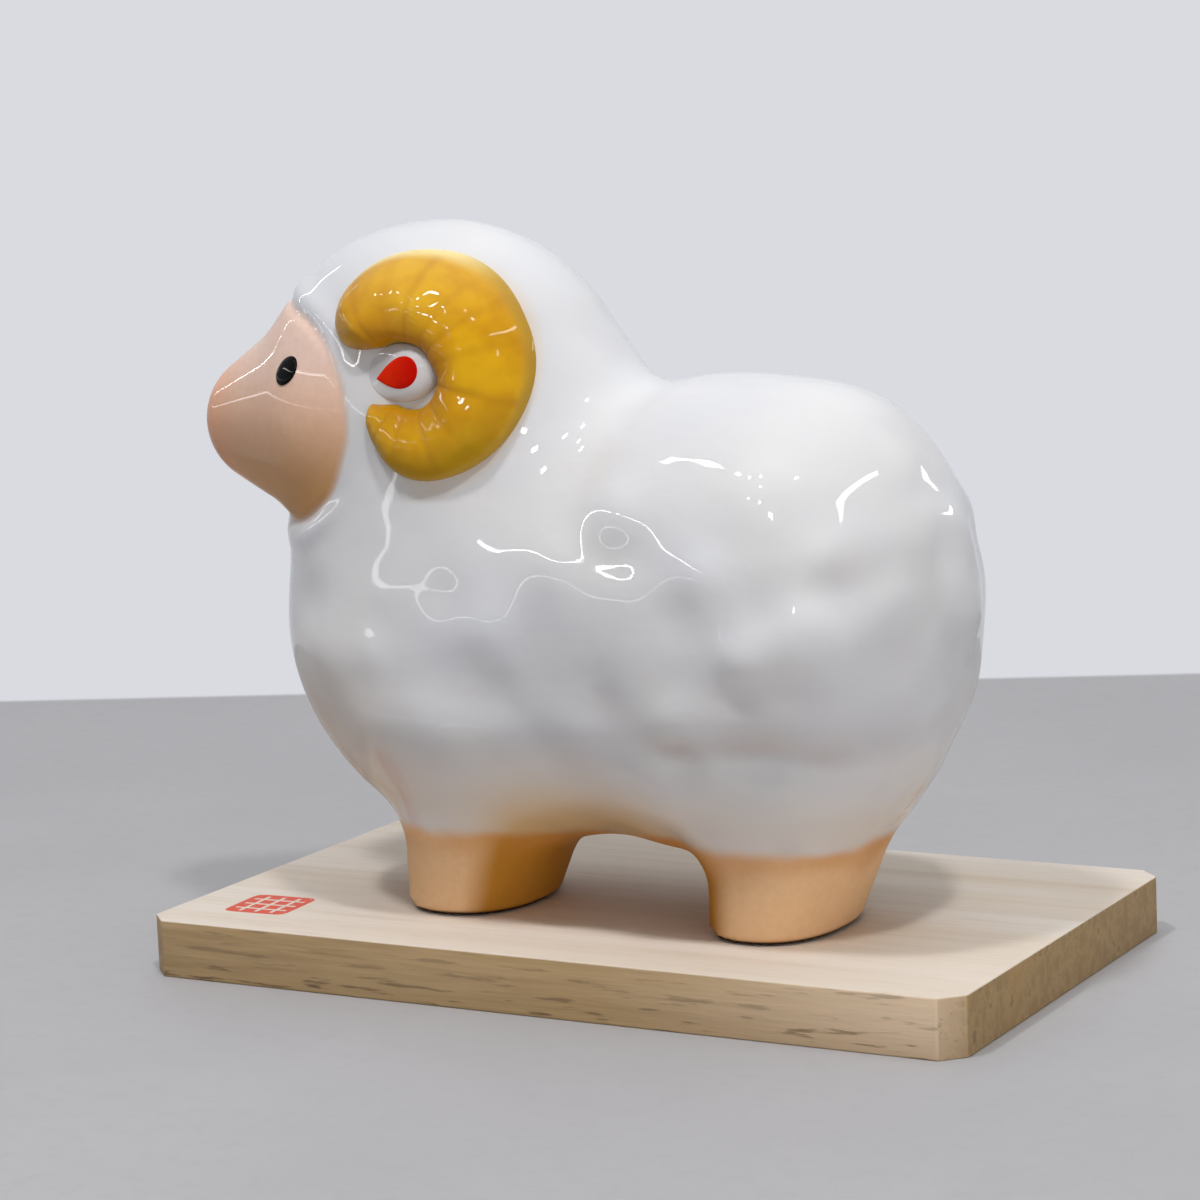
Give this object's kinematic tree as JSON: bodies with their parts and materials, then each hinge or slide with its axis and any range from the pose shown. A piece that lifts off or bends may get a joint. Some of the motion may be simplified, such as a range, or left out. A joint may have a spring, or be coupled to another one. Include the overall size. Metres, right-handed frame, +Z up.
{
  "type": "painted sheep figurine",
  "caption": "Plump glazed ceramic ram with curled yellow horns, standing loose on a chamfered rectangular wooden board.",
  "frame": {"origin": "centre of the board's underside", "axes": "+Z up, the board's long side along X, the ram's nose towards -X, its left flank towards -Y"},
  "size_m": [0.1317, 0.076, 0.1083],
  "materials": {
    "board": "bare sawn light wood, fine straight grain, unvarnished",
    "white_glaze": "thick clear high-gloss glaze over white ceramic, softly dimpled",
    "peach_glaze": "airbrushed peach under a clear glaze; glossy on the face, duller on the feet",
    "yellow_glaze": "airbrushed yellow under clear glaze, amber in the grooves",
    "red_glaze": "brush-painted red, glossy",
    "black_glaze": "brush-painted black, glossy"
  },
  "bodies": {
    "board": {"board": "board"},
    "figurine": {"body_shell": "white_glaze", "face": "peach_glaze", "front_foot": "peach_glaze", "rear_foot": "peach_glaze", "tail": "white_glaze", "horn_left": "yellow_glaze", "ear_left": "white_glaze", "ear_mark_left": "red_glaze", "eye_left": "black_glaze", "horn_right": "yellow_glaze", "ear_right": "white_glaze", "ear_mark_right": "red_glaze", "eye_right": "black_glaze"}
  },
  "joints": [
    {"name": "figurine_lift", "type": "slide", "parent": "board", "child": "figurine", "axis": [0, 0, 1], "range_m": [0, 0.12]}
  ]
}
